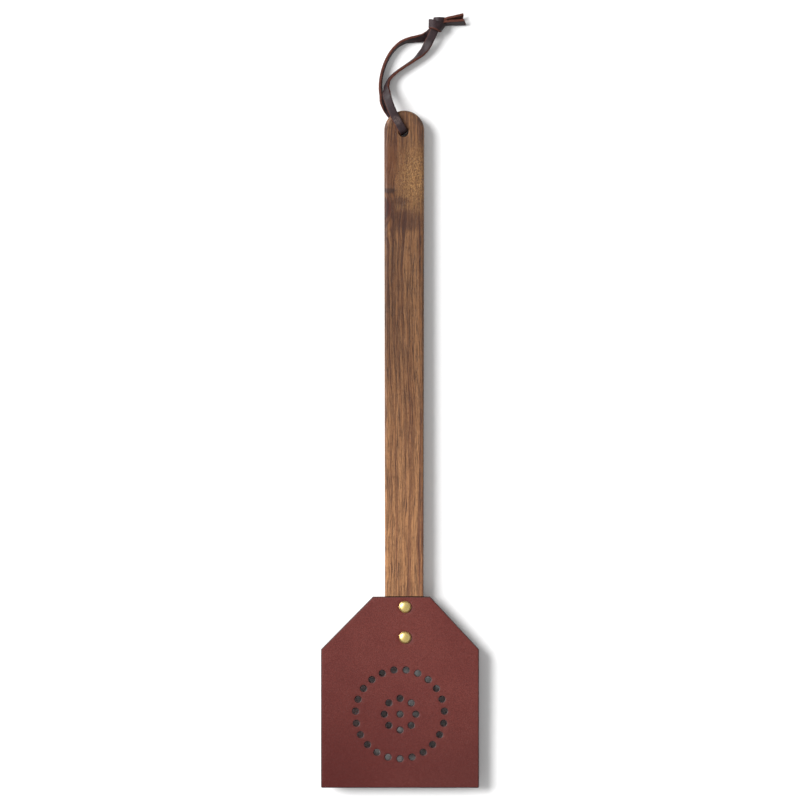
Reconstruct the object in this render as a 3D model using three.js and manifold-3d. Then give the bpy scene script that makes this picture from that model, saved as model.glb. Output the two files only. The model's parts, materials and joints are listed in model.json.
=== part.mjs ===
// Fly swatter: a perforated leather head riveted into a rebate in a flat wooden handle,
// with a knotted leather thong through the butt to hang it by.
// Millimetres. The swatter lies on its back: +Z is its front, +Y runs from the head to the butt,
// and the origin is on the surface it lies on, under the middle of the head and handle.

import * as THREE from 'three';
import { mergeVertices } from 'three/addons/utils/BufferGeometryUtils.js';
import Module from 'manifold-3d';

const wasm = await Module();
wasm.setup();

// ---------------------------------------------------------------- driving dimensions

const GAP = 0.3;
const CUT_OVERRUN = 1; // how far a cutter stands proud of what it cuts
const OVERALL_LENGTH = 450;
const HEAD_END_Y = -OVERALL_LENGTH / 2;
const BUTT_Y = OVERALL_LENGTH / 2;

const LEATHER = {
  width: 105,
  length: 127,
  thickness: 3,
  topLeftX: -18,
  topRightX: 20,
  shoulderDrop: 35,
  cornerRadius: 1,
};
const LEATHER_TOP_Y = HEAD_END_Y + LEATHER.length;

const HANDLE = {
  centreX: 2.8,
  headHalfWidth: 12.75,
  buttRadius: 13.3,
  backZ: 2.3,
  thickness: 9,
  edgeRadius: 1.8,
  tongueLength: 38,
  rebateOverrun: 5,
};
const FRONT_Z = HANDLE.backZ + HANDLE.thickness;
const LEATHER_BACK_Z = FRONT_Z - LEATHER.thickness;
const TONGUE_END_Y = LEATHER_TOP_Y - HANDLE.tongueLength;
const BUTT_CENTRE_Y = BUTT_Y - HANDLE.buttRadius;

const HINGE_BELOW_TONGUE = 2;
const HINGE = { y: TONGUE_END_Y - HINGE_BELOW_TONGUE, z: LEATHER_BACK_Z + LEATHER.thickness / 2 };

const PERFORATION = {
  holeRadius: 2,
  centreY: -176,
  outerRadius: 29.6,
  outerCount: 23,
  innerRadius: 10.5,
  innerCount: 8,
};

const RIVET = {
  x: 3.4,
  ys: { upper: LEATHER_TOP_Y - 6.8, lower: LEATHER_TOP_Y - 27.1 },
  capRadius: 4,
  domeHeight: 1.5,
  rimHeight: 0.4,
  postRadius: 1.5,
  backThickness: 2,
  socketFloor: 0.8,
  backRounding: 0.6,
  domeSteps: 6,
};

const HANG_HOLE = { x: 2.4, y: 210.6, radius: 3.2, rimChamfer: 0.5 };

const THONG = {
  width: 5.5,
  thickness: 1.8,
  bendRadius: 2.4,
  sectionStep: 2.5,
  frontLift: 1.3,
  floorGap: 0.08,
};
const THONG_FRONT_Z = FRONT_Z + THONG.frontLift;
const THONG_FLOOR_Z = THONG.thickness / 2 + THONG.floorGap;

const KNOT = {
  x: 25.4,
  y: 282.0,
  headingDeg: 36,
  length: 9.4,
  width: 10.4,
  height: 9.6,
  edgeRadius: 2.2,
  bottomZ: 0.05,
};

// Hand-laid routes of the thong: x, y, z of its middle line and its roll in degrees,
// 0 lying flat and 90 standing on its edge.
const FRONT_ROUTE = [
  [-0.2, 215.2, THONG_FRONT_Z, 0],
  [-3.0, 220.2, THONG_FRONT_Z, 0],
  [-5.3, 225.0, 12.3, 0],
  [-7.4, 230.6, 10.9, -6],
  [-8.8, 235.8, 8.9, -28],
  [-9.0, 240.8, 6.0, -66],
  [-7.4, 245.6, 3.8, -82],
  [-3.6, 249.9, 2.95, -84],
  [2.4, 254.3, 2.95, -84],
  [9.0, 258.8, 2.95, -78],
  [15.0, 264.2, 3.4, -48],
  [18.6, 269.6, 4.8, -16],
  [20.6, 273.6, 5.6, 0],
];
const BACK_ROUTE = [
  [-1.4, 216.4, THONG_FLOOR_Z, 0],
  [-4.6, 221.0, THONG_FLOOR_Z, 0],
  [-8.0, 225.6, 1.4, 8],
  [-10.8, 230.4, 2.7, 44],
  [-12.5, 236.2, 2.95, 78],
  [-13.0, 243.4, 2.95, 84],
  [-11.5, 251.8, 2.95, 84],
  [-8.2, 260.2, 2.95, 82],
  [-3.4, 267.0, 2.95, 80],
  [2.4, 271.2, 2.9, 72],
  [9.4, 272.9, 2.85, 54],
  [15.2, 274.0, 2.2, 30],
  [18.8, 276.0, 1.6, 10],
];
const UPPER_TAIL_ROUTE = [
  [31.6, 283.7, 3.6, 66],
  [34.6, 283.9, 3.4, 66],
  [38.4, 284.0, 3.3, 64],
  [43.2, 284.3, 3.2, 60],
];
const LOWER_TAIL_ROUTE = [
  [31.4, 286.1, 3.2, 74],
  [34.4, 286.6, 3.1, 68],
  [38.2, 287.2, 3.0, 60],
  [42.0, 287.9, 2.9, 52],
];

// ---------------------------------------------------------------- materials

const wood = (name) => new THREE.MeshStandardMaterial({ name, color: 0x87603f, roughness: 0.55, metalness: 0 });
const leather = (name) => new THREE.MeshStandardMaterial({ name, color: 0x733c38, roughness: 0.6, metalness: 0 });
const brass = (name) => new THREE.MeshStandardMaterial({ name, color: 0xbda45a, roughness: 0.3, metalness: 1 });
const lace = (name) => new THREE.MeshStandardMaterial({ name, color: 0x41302f, roughness: 0.65, metalness: 0 });

// ---------------------------------------------------------------- solids and cuts

function toManifold(geometry) {
  const bare = geometry.index ? geometry.toNonIndexed() : geometry.clone();
  bare.deleteAttribute('normal');
  bare.deleteAttribute('uv');
  const merged = mergeVertices(bare, 1e-4);
  return new wasm.Manifold(new wasm.Mesh({
    numProp: 3,
    vertProperties: new Float32Array(merged.attributes.position.array),
    triVerts: new Uint32Array(merged.index.array),
  }));
}

function toGeometry(manifold) {
  const mesh = manifold.getMesh();
  const geometry = new THREE.BufferGeometry();
  geometry.setAttribute('position', new THREE.BufferAttribute(new Float32Array(mesh.vertProperties), 3));
  geometry.setIndex(new THREE.BufferAttribute(new Uint32Array(mesh.triVerts), 1));
  geometry.computeVertexNormals();
  return geometry;
}

function subtractAll(geometry, cutters) {
  let solid = toManifold(geometry);
  for (const cutter of cutters) {
    solid = solid.subtract(toManifold(cutter));
  }
  return toGeometry(solid);
}

// A revolved solid about +Z from [radius, z] points that start and end on the axis.
function turned(profile, segments, x, y) {
  const points = profile.map(([radius, z]) => new THREE.Vector2(radius, z));
  const geometry = new THREE.LatheGeometry(points, segments);
  geometry.rotateX(Math.PI / 2);
  geometry.translate(x, y, 0);
  return geometry;
}

function plate(shape, bottomZ, thickness, curveSegments = 8) {
  const geometry = new THREE.ExtrudeGeometry(shape, { depth: thickness, bevelEnabled: false, curveSegments });
  geometry.translate(0, 0, bottomZ);
  return geometry;
}

// A slab whose top and bottom edges are rounded, inside the outline that shape gives.
function roundedSlab(shape, bottomZ, thickness, radius, curveSegments) {
  const geometry = new THREE.ExtrudeGeometry(shape, {
    depth: thickness - 2 * radius,
    bevelEnabled: true,
    bevelThickness: radius,
    bevelSize: radius,
    bevelOffset: -radius,
    bevelSegments: 4,
    curveSegments,
  });
  geometry.translate(0, 0, bottomZ + radius);
  return geometry;
}

// ---------------------------------------------------------------- wooden handle

function handleOutline() {
  const { centreX, headHalfWidth, buttRadius } = HANDLE;
  const shape = new THREE.Shape();
  shape.moveTo(centreX - headHalfWidth, TONGUE_END_Y);
  shape.lineTo(centreX + headHalfWidth, TONGUE_END_Y);
  shape.absarc(centreX, BUTT_CENTRE_Y, buttRadius, 0, Math.PI, false);
  shape.closePath();
  return shape;
}

// The rebate that the leather lies in, open at both sides and at the front.
function rebateCutter() {
  const length = HANDLE.tongueLength + GAP + HANDLE.rebateOverrun;
  const depth = LEATHER.thickness + GAP + CUT_OVERRUN;
  const geometry = new THREE.BoxGeometry(4 * HANDLE.headHalfWidth, length, depth);
  geometry.translate(HANDLE.centreX, LEATHER_TOP_Y + GAP - length / 2, LEATHER_BACK_Z - GAP + depth / 2);
  return geometry;
}

function boreCutter(x, y, radius) {
  const top = FRONT_Z + CUT_OVERRUN;
  const profile = [[0, -CUT_OVERRUN], [radius, -CUT_OVERRUN], [radius, top], [0, top]];
  return turned(profile, 32, x, y);
}

// The hang hole, with its two rims eased so that they don't cut the thong.
function hangHoleCutter() {
  const { x, y, radius, rimChamfer } = HANG_HOLE;
  const flare = radius + rimChamfer + CUT_OVERRUN;
  const profile = [
    [0, HANDLE.backZ - CUT_OVERRUN],
    [flare, HANDLE.backZ - CUT_OVERRUN],
    [radius, HANDLE.backZ + rimChamfer],
    [radius, FRONT_Z - rimChamfer],
    [flare, FRONT_Z + CUT_OVERRUN],
    [0, FRONT_Z + CUT_OVERRUN],
  ];
  return turned(profile, 40, x, y);
}

function makeHandle() {
  const blank = roundedSlab(handleOutline(), HANDLE.backZ, HANDLE.thickness, HANDLE.edgeRadius, 40);
  const postHoles = Object.values(RIVET.ys).map((y) => boreCutter(RIVET.x, y, RIVET.postRadius + GAP));
  return subtractAll(blank, [rebateCutter(), hangHoleCutter(), ...postHoles]);
}

// ---------------------------------------------------------------- leather head

// The part of the head above the hinge line, clamped to the handle's tongue by the rivets.
function makeLeatherRoot() {
  const half = LEATHER.width / 2;
  const shoulderY = LEATHER_TOP_Y - LEATHER.shoulderDrop;
  const bottomY = HINGE.y + LEATHER.thickness / 2 + GAP;
  const shape = new THREE.Shape([
    new THREE.Vector2(-half, bottomY),
    new THREE.Vector2(half, bottomY),
    new THREE.Vector2(half, shoulderY),
    new THREE.Vector2(LEATHER.topRightX, LEATHER_TOP_Y),
    new THREE.Vector2(LEATHER.topLeftX, LEATHER_TOP_Y),
    new THREE.Vector2(-half, shoulderY),
  ]);
  const blank = plate(shape, LEATHER_BACK_Z, LEATHER.thickness);
  return subtractAll(blank, Object.values(RIVET.ys).map((y) => boreCutter(RIVET.x, y, RIVET.postRadius + GAP)));
}

function punch(shape, x, y) {
  const hole = new THREE.Path();
  hole.absarc(x, y, PERFORATION.holeRadius, 0, 2 * Math.PI, true);
  shape.holes.push(hole);
}

// Holes evenly round a circle, the first one nearest the head's free edge.
function punchRing(shape, count, radius) {
  for (let i = 0; i < count; i += 1) {
    const angle = (2 * Math.PI * i) / count - Math.PI / 2;
    punch(shape, radius * Math.cos(angle), PERFORATION.centreY + radius * Math.sin(angle));
  }
}

// The free, perforated part of the head. It flexes about HINGE, where its edge is rounded
// about the axis so that it turns clear of the root and of the tongue.
function makeLeatherFlap() {
  const half = LEATHER.width / 2;
  const corner = LEATHER.cornerRadius;
  const shape = new THREE.Shape();
  shape.moveTo(half, HINGE.y);
  shape.lineTo(-half, HINGE.y);
  shape.lineTo(-half, HEAD_END_Y + corner);
  shape.absarc(-half + corner, HEAD_END_Y + corner, corner, Math.PI, 1.5 * Math.PI, false);
  shape.absarc(half - corner, HEAD_END_Y + corner, corner, 1.5 * Math.PI, 2 * Math.PI, false);
  shape.closePath();
  punchRing(shape, PERFORATION.outerCount, PERFORATION.outerRadius);
  punchRing(shape, PERFORATION.innerCount, PERFORATION.innerRadius);
  punch(shape, 0, PERFORATION.centreY);
  const sheet = plate(shape, LEATHER_BACK_Z, LEATHER.thickness, 8);

  const rounding = new THREE.CylinderGeometry(LEATHER.thickness / 2, LEATHER.thickness / 2, LEATHER.width, 24);
  rounding.rotateZ(Math.PI / 2);
  rounding.translate(0, HINGE.y, HINGE.z);
  return toGeometry(toManifold(sheet).add(toManifold(rounding)));
}

// ---------------------------------------------------------------- rivets

// Front half of a rivet: a domed cap on a post that runs through leather and wood.
function makeRivetCap(y) {
  const { capRadius, domeHeight, domeSteps, rimHeight, postRadius, socketFloor } = RIVET;
  const underside = FRONT_Z + GAP;
  const rimTop = underside + rimHeight;
  const sphereRadius = (capRadius ** 2 + domeHeight ** 2) / (2 * domeHeight);
  const sphereZ = rimTop + domeHeight - sphereRadius;
  const profile = [
    [0, socketFloor + GAP],
    [postRadius, socketFloor + GAP],
    [postRadius, underside],
    [capRadius, underside],
  ];
  for (let i = 0; i < domeSteps; i += 1) {
    const radius = capRadius * (1 - i / domeSteps);
    profile.push([radius, sphereZ + Math.sqrt(sphereRadius ** 2 - radius ** 2)]);
  }
  profile.push([0, rimTop + domeHeight]);
  return turned(profile, 32, RIVET.x, y);
}

// Rear half of a rivet: the cap that the post is set into, and that the head lies on.
function makeRivetBack(y) {
  const { capRadius, postRadius, backThickness, backRounding, socketFloor } = RIVET;
  const profile = [
    [0, 0],
    [capRadius - backRounding, 0],
    [capRadius, backRounding],
    [capRadius, backThickness],
    [postRadius + GAP, backThickness],
    [postRadius + GAP, socketFloor],
    [0, socketFloor],
  ];
  return turned(profile, 32, RIVET.x, y);
}

// ---------------------------------------------------------------- thong

// The middle line from inside the hang hole, round the rim and out along a horizontal heading.
// side is 1 for the front mouth and -1 for the back one.
function mouthRoute(side, restZ, firstPoint) {
  const { bendRadius } = THONG;
  const middleZ = HANDLE.backZ + HANDLE.thickness / 2;
  const start = new THREE.Vector2(HANG_HOLE.x, HANG_HOLE.y);
  const heading = new THREE.Vector2(firstPoint[0], firstPoint[1]).sub(start).normalize();
  const points = [[start.x, start.y, middleZ + side * GAP / 2, 0]];
  for (let angle = 0; angle <= 90; angle += 22.5) {
    const turn = THREE.MathUtils.degToRad(angle);
    const out = bendRadius * (1 - Math.cos(turn));
    const z = restZ - side * bendRadius * (1 - Math.sin(turn));
    points.push([start.x + heading.x * out, start.y + heading.y * out, z, 0]);
  }
  return points;
}

// Frames that keep a strip level across its width, but for the roll that its route gives.
// Where the middle line is upright it keeps the heading of the level stretch that follows.
function stripFrames(curve, rollCurve, steps) {
  const tangents = [];
  const headings = [];
  for (let i = 0; i <= steps; i += 1) {
    const tangent = curve.getTangentAt(i / steps);
    const level = new THREE.Vector3(tangent.x, tangent.y, 0);
    tangents.push(tangent);
    headings.push(level.length() > 0.2 ? level.normalize() : null);
  }
  const firstHeading = headings.find((heading) => heading !== null);
  const normals = [];
  const binormals = [];
  tangents.forEach((tangent, i) => {
    const heading = headings[i] ?? firstHeading;
    const across = new THREE.Vector3(heading.y, -heading.x, 0);
    const roll = rollCurve.getPoint(curve.getUtoTmapping(i / steps)).x;
    across.applyAxisAngle(tangent, THREE.MathUtils.degToRad(roll));
    normals.push(across);
    binormals.push(new THREE.Vector3().crossVectors(tangent, across).normalize());
  });
  return { tangents, normals, binormals };
}

function makeStrip(route) {
  const curve = new THREE.CatmullRomCurve3(route.map(([x, y, z]) => new THREE.Vector3(x, y, z)));
  const rollCurve = new THREE.CatmullRomCurve3(route.map((point) => new THREE.Vector3(point[3], 0, 0)));
  rollCurve.curveType = 'catmullrom';
  curve.computeFrenetFrames = (steps) => stripFrames(curve, rollCurve, steps);
  const halfWidth = THONG.width / 2;
  const halfThickness = THONG.thickness / 2;
  const section = new THREE.Shape([
    new THREE.Vector2(-halfWidth, -halfThickness),
    new THREE.Vector2(halfWidth, -halfThickness),
    new THREE.Vector2(halfWidth, halfThickness),
    new THREE.Vector2(-halfWidth, halfThickness),
  ]);
  const steps = Math.round(curve.getLength() / THONG.sectionStep);
  return new THREE.ExtrudeGeometry(section, { extrudePath: curve, steps });
}

function makeKnot() {
  const halfLength = KNOT.length / 2;
  const halfWidth = KNOT.width / 2;
  const shape = new THREE.Shape([
    new THREE.Vector2(-halfLength, -halfWidth),
    new THREE.Vector2(halfLength, -halfWidth),
    new THREE.Vector2(halfLength, halfWidth),
    new THREE.Vector2(-halfLength, halfWidth),
  ]);
  const geometry = roundedSlab(shape, KNOT.bottomZ, KNOT.height, KNOT.edgeRadius, 4);
  geometry.rotateZ(THREE.MathUtils.degToRad(KNOT.headingDeg));
  geometry.translate(KNOT.x, KNOT.y, 0);
  return geometry;
}

// ---------------------------------------------------------------- assembly

const swatter = new THREE.Group();

function add(name, geometry, material) {
  const mesh = new THREE.Mesh(geometry, material(name));
  mesh.name = name;
  swatter.add(mesh);
}

add('handle', makeHandle(), wood);
add('leather_root', makeLeatherRoot(), leather);
add('leather_flap', makeLeatherFlap(), leather);
for (const [place, y] of Object.entries(RIVET.ys)) {
  add(`rivet_${place}_cap`, makeRivetCap(y), brass);
  add(`rivet_${place}_back`, makeRivetBack(y), brass);
}
add('thong_front', makeStrip([...mouthRoute(1, THONG_FRONT_Z, FRONT_ROUTE[0]), ...FRONT_ROUTE]), lace);
add('thong_back', makeStrip([...mouthRoute(-1, THONG_FLOOR_Z, BACK_ROUTE[0]), ...BACK_ROUTE]), lace);
add('thong_knot', makeKnot(), lace);
add('thong_tail_upper', makeStrip(UPPER_TAIL_ROUTE), lace);
add('thong_tail_lower', makeStrip(LOWER_TAIL_ROUTE), lace);

export default swatter;
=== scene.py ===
"""Fly swatter: the looks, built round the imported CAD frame.

Metres. The swatter lies on its back: +Z is its front and +Y runs from the head to the butt.
"""

import json
import math

import bmesh
import bpy
from mathutils import Matrix, Vector, geometry, noise


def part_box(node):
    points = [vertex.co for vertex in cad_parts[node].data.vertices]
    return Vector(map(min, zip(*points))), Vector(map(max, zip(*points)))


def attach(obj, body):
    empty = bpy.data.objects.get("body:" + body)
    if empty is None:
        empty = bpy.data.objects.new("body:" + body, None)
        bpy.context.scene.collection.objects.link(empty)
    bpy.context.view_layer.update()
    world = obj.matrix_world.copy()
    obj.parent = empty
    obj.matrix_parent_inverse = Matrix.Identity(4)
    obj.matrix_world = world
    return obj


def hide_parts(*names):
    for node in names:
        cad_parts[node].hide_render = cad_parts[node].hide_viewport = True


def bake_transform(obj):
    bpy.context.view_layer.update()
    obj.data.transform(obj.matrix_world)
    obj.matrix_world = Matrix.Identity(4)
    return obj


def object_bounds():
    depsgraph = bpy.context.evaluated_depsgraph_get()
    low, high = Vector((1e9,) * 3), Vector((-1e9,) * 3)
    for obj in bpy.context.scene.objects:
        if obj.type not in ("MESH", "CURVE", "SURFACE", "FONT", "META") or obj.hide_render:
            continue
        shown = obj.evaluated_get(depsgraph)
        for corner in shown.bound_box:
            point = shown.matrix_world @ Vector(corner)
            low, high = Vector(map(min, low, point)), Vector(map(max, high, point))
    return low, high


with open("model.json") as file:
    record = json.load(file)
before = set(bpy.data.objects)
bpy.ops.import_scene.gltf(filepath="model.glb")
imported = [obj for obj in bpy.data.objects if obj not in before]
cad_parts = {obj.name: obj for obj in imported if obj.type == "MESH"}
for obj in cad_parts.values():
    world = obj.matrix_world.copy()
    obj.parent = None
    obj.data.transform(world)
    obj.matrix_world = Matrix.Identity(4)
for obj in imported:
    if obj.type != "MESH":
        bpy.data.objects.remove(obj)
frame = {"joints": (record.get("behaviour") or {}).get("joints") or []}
cad_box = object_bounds()

MM = 0.001
joints = {joint["name"]: joint for joint in frame["joints"]}

# ---------------------------------------------------------------- sizes taken from the frame

handle_low, handle_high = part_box("handle")
root_low, root_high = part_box("leather_root")
flap_low, flap_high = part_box("leather_flap")
HINGE = Vector(joints["flap_flex"]["pos_m"])
HANG_HOLE = Vector(joints["hang_loop_swing"]["pos_m"])

HEAD_HALF_WIDTH = root_high.x
HEAD_TOP_Y = root_high.y
HEAD_END_Y = flap_low.y
LEATHER_BACK_Z = flap_low.z
LEATHER_FRONT_Z = flap_high.z
HANDLE_BACK_Z = handle_low.z
HANDLE_FRONT_Z = handle_high.z
HANDLE_X = (handle_low.x + handle_high.x) / 2
BUTT_RADIUS = (handle_high.x - handle_low.x) / 2
BUTT_CENTRE_Y = handle_high.y - BUTT_RADIUS
TONGUE_END_Y = handle_low.y


def centre_of(node):
    low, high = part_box(node)
    return (low + high) / 2


RIVET_CENTRES = {place: centre_of(f"rivet_{place}_cap") for place in ("upper", "lower")}

# ---------------------------------------------------------------- sizes of the fine detail

HEAD_TOP_LEFT_X = -18 * MM
HEAD_TOP_RIGHT_X = 20 * MM
SHOULDER_DROP = 35 * MM
HEAD_CORNER_RADIUS = 1 * MM
LEATHER_ROUNDING = 0.5 * MM
PUNCH_RADIUS = 2 * MM
PUNCH_CENTRE_Y = -176 * MM
PUNCH_RINGS = ((23, 29.6 * MM), (8, 10.5 * MM), (1, 0.0))
HANDLE_HEAD_HALF_WIDTH = 12.75 * MM
HEAD_END_ROUNDING = 0.9 * MM
BUTT_END_ROUNDING = 2.5 * MM
HANG_HOLE_RADIUS = 3.2 * MM
THONG_WIDTH = 5.5 * MM
THONG_THICKNESS = 1.8 * MM
THONG_BEND_RADIUS = 2.4 * MM
THONG_SPACING = 0.36 * MM
RIVET_RADIUS = 4 * MM
RIVET_POST_RADIUS = 1.5 * MM
FILL_MARGIN = 1.3 * MM
RIVET_FILL_CLEARANCE = 7.2 * MM
KNOT_FRONT_TURN = (24.1, 281.7, 4.7)
KNOT_REAR_TURN = (26.1, 285.1, 3.7)

# The thong's routes, the same as the frame's: x, y, z of the middle line in millimetres and
# the roll in degrees, 0 lying flat and 90 standing on its edge.
THONG_FRONT_Z = 12.6
THONG_FLOOR_Z = 0.98
FRONT_ROUTE = [
    (-0.2, 215.2, THONG_FRONT_Z, 0),
    (-3.0, 220.2, THONG_FRONT_Z, 0),
    (-5.3, 225.0, 12.3, 0),
    (-7.4, 230.6, 10.9, -6),
    (-8.8, 235.8, 8.9, -28),
    (-9.0, 240.8, 6.0, -66),
    (-7.4, 245.6, 3.8, -82),
    (-3.6, 249.9, 2.95, -84),
    (2.4, 254.3, 2.95, -84),
    (9.0, 258.8, 2.95, -78),
    (15.0, 264.2, 3.4, -48),
    (18.6, 269.6, 4.8, -16),
    (20.6, 273.6, 5.6, 0),
]
BACK_ROUTE = [
    (-1.4, 216.4, THONG_FLOOR_Z, 0),
    (-4.6, 221.0, THONG_FLOOR_Z, 0),
    (-8.0, 225.6, 1.4, 8),
    (-10.8, 230.4, 2.7, 44),
    (-12.5, 236.2, 2.95, 78),
    (-13.0, 243.4, 2.95, 84),
    (-11.5, 251.8, 2.95, 84),
    (-8.2, 260.2, 2.95, 82),
    (-3.4, 267.0, 2.95, 80),
    (2.4, 271.2, 2.9, 72),
    (9.4, 272.9, 2.85, 54),
    (15.2, 274.0, 2.2, 30),
    (18.8, 276.0, 1.6, 10),
]
UPPER_TAIL_ROUTE = [
    (31.6, 283.7, 3.6, 66),
    (34.6, 283.9, 3.4, 66),
    (38.4, 284.0, 3.3, 64),
    (43.2, 284.3, 3.2, 60),
]
LOWER_TAIL_ROUTE = [
    (31.4, 286.1, 3.2, 74),
    (34.4, 286.6, 3.1, 68),
    (38.2, 287.2, 3.0, 60),
    (42.0, 287.9, 2.9, 52),
]
# What the knot hides: the ends of the four strips inside it.
FRONT_ENTRY = [(22.2, 277.1, 5.8, 0), (23.6, 280.4, 5.4, 0)]
BACK_ENTRY = [(21.4, 278.4, 2.2, 0), (23.6, 281.0, 2.8, 0)]
UPPER_TAIL_ENTRY = [(26.4, 282.2, 3.8, 58), (29.2, 283.3, 3.7, 64)]
LOWER_TAIL_ENTRY = [(26.8, 283.8, 3.3, 70), (29.2, 285.0, 3.3, 76)]

# ---------------------------------------------------------------- camera


def make_camera():
    """Straight down on the whole swatter, with the head at the bottom of the picture."""
    low, high = cad_box
    distance = 3.0
    shown = (high.y - low.y) * 1.035
    data = bpy.data.cameras.new("camera")
    data.sensor_width = 36
    data.lens = data.sensor_width * distance / shown
    data.clip_end = 20
    camera = bpy.data.objects.new("camera", data)
    camera.location = ((low.x + high.x) / 2, (low.y + high.y) / 2, distance)
    bpy.context.scene.collection.objects.link(camera)
    bpy.context.scene.camera = camera


make_camera()

# ---------------------------------------------------------------- mesh helpers


def mesh_piece(name, vertices, faces, materials, face_materials=None, sharp_angle=None):
    """A smooth-shaded mesh object. Edges that turn by more than sharp_angle degrees stay crisp."""
    mesh = bpy.data.meshes.new(name)
    mesh.from_pydata(vertices, [], faces)
    for material in materials:
        mesh.materials.append(material)
    if face_materials is not None:
        mesh.polygons.foreach_set("material_index", face_materials)
    piece = bpy.data.objects.new(name, mesh)
    bpy.context.scene.collection.objects.link(piece)
    finish_shading(mesh, sharp_angle)
    return piece


def finish_shading(mesh, sharp_angle=None):
    work = bmesh.new()
    work.from_mesh(mesh)
    bmesh.ops.recalc_face_normals(work, faces=work.faces)
    for face in work.faces:
        face.smooth = True
    if sharp_angle is not None:
        limit = math.radians(sharp_angle)
        for edge in work.edges:
            edge.smooth = not edge.is_manifold or edge.calc_face_angle() < limit
    work.to_mesh(mesh)
    work.free()


def arc_points(centre_x, centre_y, radius, start, end, steps):
    """Points along an arc, ends included. Angles are in degrees, anticlockwise from +X."""
    points = []
    for i in range(steps + 1):
        angle = math.radians(start + (end - start) * i / steps)
        points.append(Vector((centre_x + radius * math.cos(angle), centre_y + radius * math.sin(angle))))
    return points


def along(start, end, spacing):
    """Evenly spaced points on a line, without its last one."""
    count = max(1, round((end - start).length / spacing))
    return [start.lerp(end, i / count) for i in range(count)]


def inward_normals(loop):
    """Unit normals of a closed 2-D loop, to the left of its direction."""
    normals = []
    for i, point in enumerate(loop):
        before = (point - loop[i - 1]).normalized()
        after = (loop[(i + 1) % len(loop)] - point).normalized()
        direction = (before + after).normalized()
        half_turn_cosine = max(0.5, direction.dot(after))
        normals.append(Vector((-direction.y, direction.x)) / half_turn_cosine)
    return normals


def inside_polygon(point, loop):
    inside = False
    for i, current in enumerate(loop):
        previous = loop[i - 1]
        if (current.y > point.y) != (previous.y > point.y):
            crossing = current.x + (point.y - current.y) * (previous.x - current.x) / (previous.y - current.y)
            if point.x < crossing:
                inside = not inside
    return inside


def rounded_plate(name, outline, holes, low_z, high_z, rounding, fill_points, materials, steps=4):
    """A flat solid with rounded rims, filled with a mesh through fill_points.

    outline runs anticlockwise and each hole clockwise, so material is always on the left.
    rounding(point) gives the rim's radius there. materials are the faces' and the rims'.
    """
    loops = [outline, *holes]
    vertices = []
    faces = []
    face_materials = []
    flat_rims = {"low": [], "high": []}
    for loop in loops:
        normals = inward_normals(loop)
        rings = []
        for side, level in (("low", low_z), ("high", high_z)):
            sign = 1 if side == "high" else -1
            ring_steps = range(steps + 1) if side == "high" else range(steps, -1, -1)
            for k in ring_steps:
                angle = math.pi / 2 * k / steps
                ring = []
                for point, normal in zip(loop, normals):
                    radius = rounding(point)
                    inset = radius * (1 - math.cos(angle))
                    z = level - sign * radius * (1 - math.sin(angle))
                    place = point + normal * inset
                    ring.append(len(vertices))
                    vertices.append(Vector((place.x, place.y, z)))
                rings.append(ring)
        count = len(loop)
        for lower, upper in zip(rings, rings[1:]):
            for i in range(count):
                after = (i + 1) % count
                faces.append((lower[i], lower[after], upper[after], upper[i]))
                face_materials.append(1)
        flat_rims["low"].append(rings[0])
        flat_rims["high"].append(rings[-1])
    for side, level in (("low", low_z), ("high", high_z)):
        rims = flat_rims[side]
        rim_points = [[vertices[index].to_2d() for index in rim] for rim in rims]
        flat_points = [point for rim in rim_points for point in rim]
        indices = [index for rim in rims for index in rim]
        edges = []
        start = 0
        for rim in rims:
            edges += [(start + i, start + (i + 1) % len(rim)) for i in range(len(rim))]
            start += len(rim)
        for point in fill_points:
            indices.append(len(vertices))
            flat_points.append(point)
            vertices.append(Vector((point.x, point.y, level)))
        _, _, triangles, origins, _, _ = geometry.delaunay_2d_cdt(flat_points, edges, [], 1, 1e-9)
        for triangle in triangles:
            corners = [origins[corner][0] for corner in triangle]
            middle = sum((flat_points[corner] for corner in corners), Vector((0, 0))) / 3
            if any(inside_polygon(middle, rim) for rim in rim_points[1:]):
                continue
            faces.append(tuple(indices[corner] for corner in corners))
            face_materials.append(0)
    return mesh_piece(name, vertices, faces, materials, face_materials)


def lathe(name, profile, centre, materials, segments=64, face_materials=None, sharp_angle=None):
    """A solid of revolution about a vertical axis, from (radius, z) points that end on the axis."""
    vertices = []
    rings = []
    for radius, z in profile:
        if radius < 1e-9:
            rings.append([len(vertices)] * segments)
            vertices.append(Vector((centre.x, centre.y, z)))
            continue
        ring = []
        for i in range(segments):
            angle = 2 * math.pi * i / segments
            ring.append(len(vertices))
            x = centre.x + radius * math.cos(angle)
            y = centre.y + radius * math.sin(angle)
            vertices.append(Vector((x, y, z)))
        rings.append(ring)
    faces = []
    indices = []
    for band, (first, second) in enumerate(zip(rings, rings[1:])):
        for i in range(segments):
            after = (i + 1) % segments
            corners = dict.fromkeys((first[i], first[after], second[after], second[i]))
            faces.append(tuple(corners))
            indices.append(face_materials[band] if face_materials else 0)
    return mesh_piece(name, vertices, faces, materials, indices, sharp_angle)


# ---------------------------------------------------------------- material helpers


def srgb(code):
    """Linear colour from a hexadecimal sRGB one."""
    channels = [int(code[i:i + 2], 16) / 255 for i in (0, 2, 4)]
    linear = [c / 12.92 if c <= 0.04045 else ((c + 0.055) / 1.055) ** 2.4 for c in channels]
    return (*linear, 1.0)


def node(tree, kind, inputs=None, **settings):
    """Adds a shader node. A value in inputs is either a socket to link or a constant."""
    made = tree.nodes.new("ShaderNode" + kind)
    for key, value in settings.items():
        setattr(made, key, value)
    for key, value in (inputs or {}).items():
        if isinstance(value, bpy.types.NodeSocket):
            tree.links.new(value, made.inputs[key])
        else:
            made.inputs[key].default_value = value
    return made


def maths(tree, operation, first, second=0.0):
    return node(tree, "Math", {0: first, 1: second}, operation=operation).outputs[0]


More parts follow.
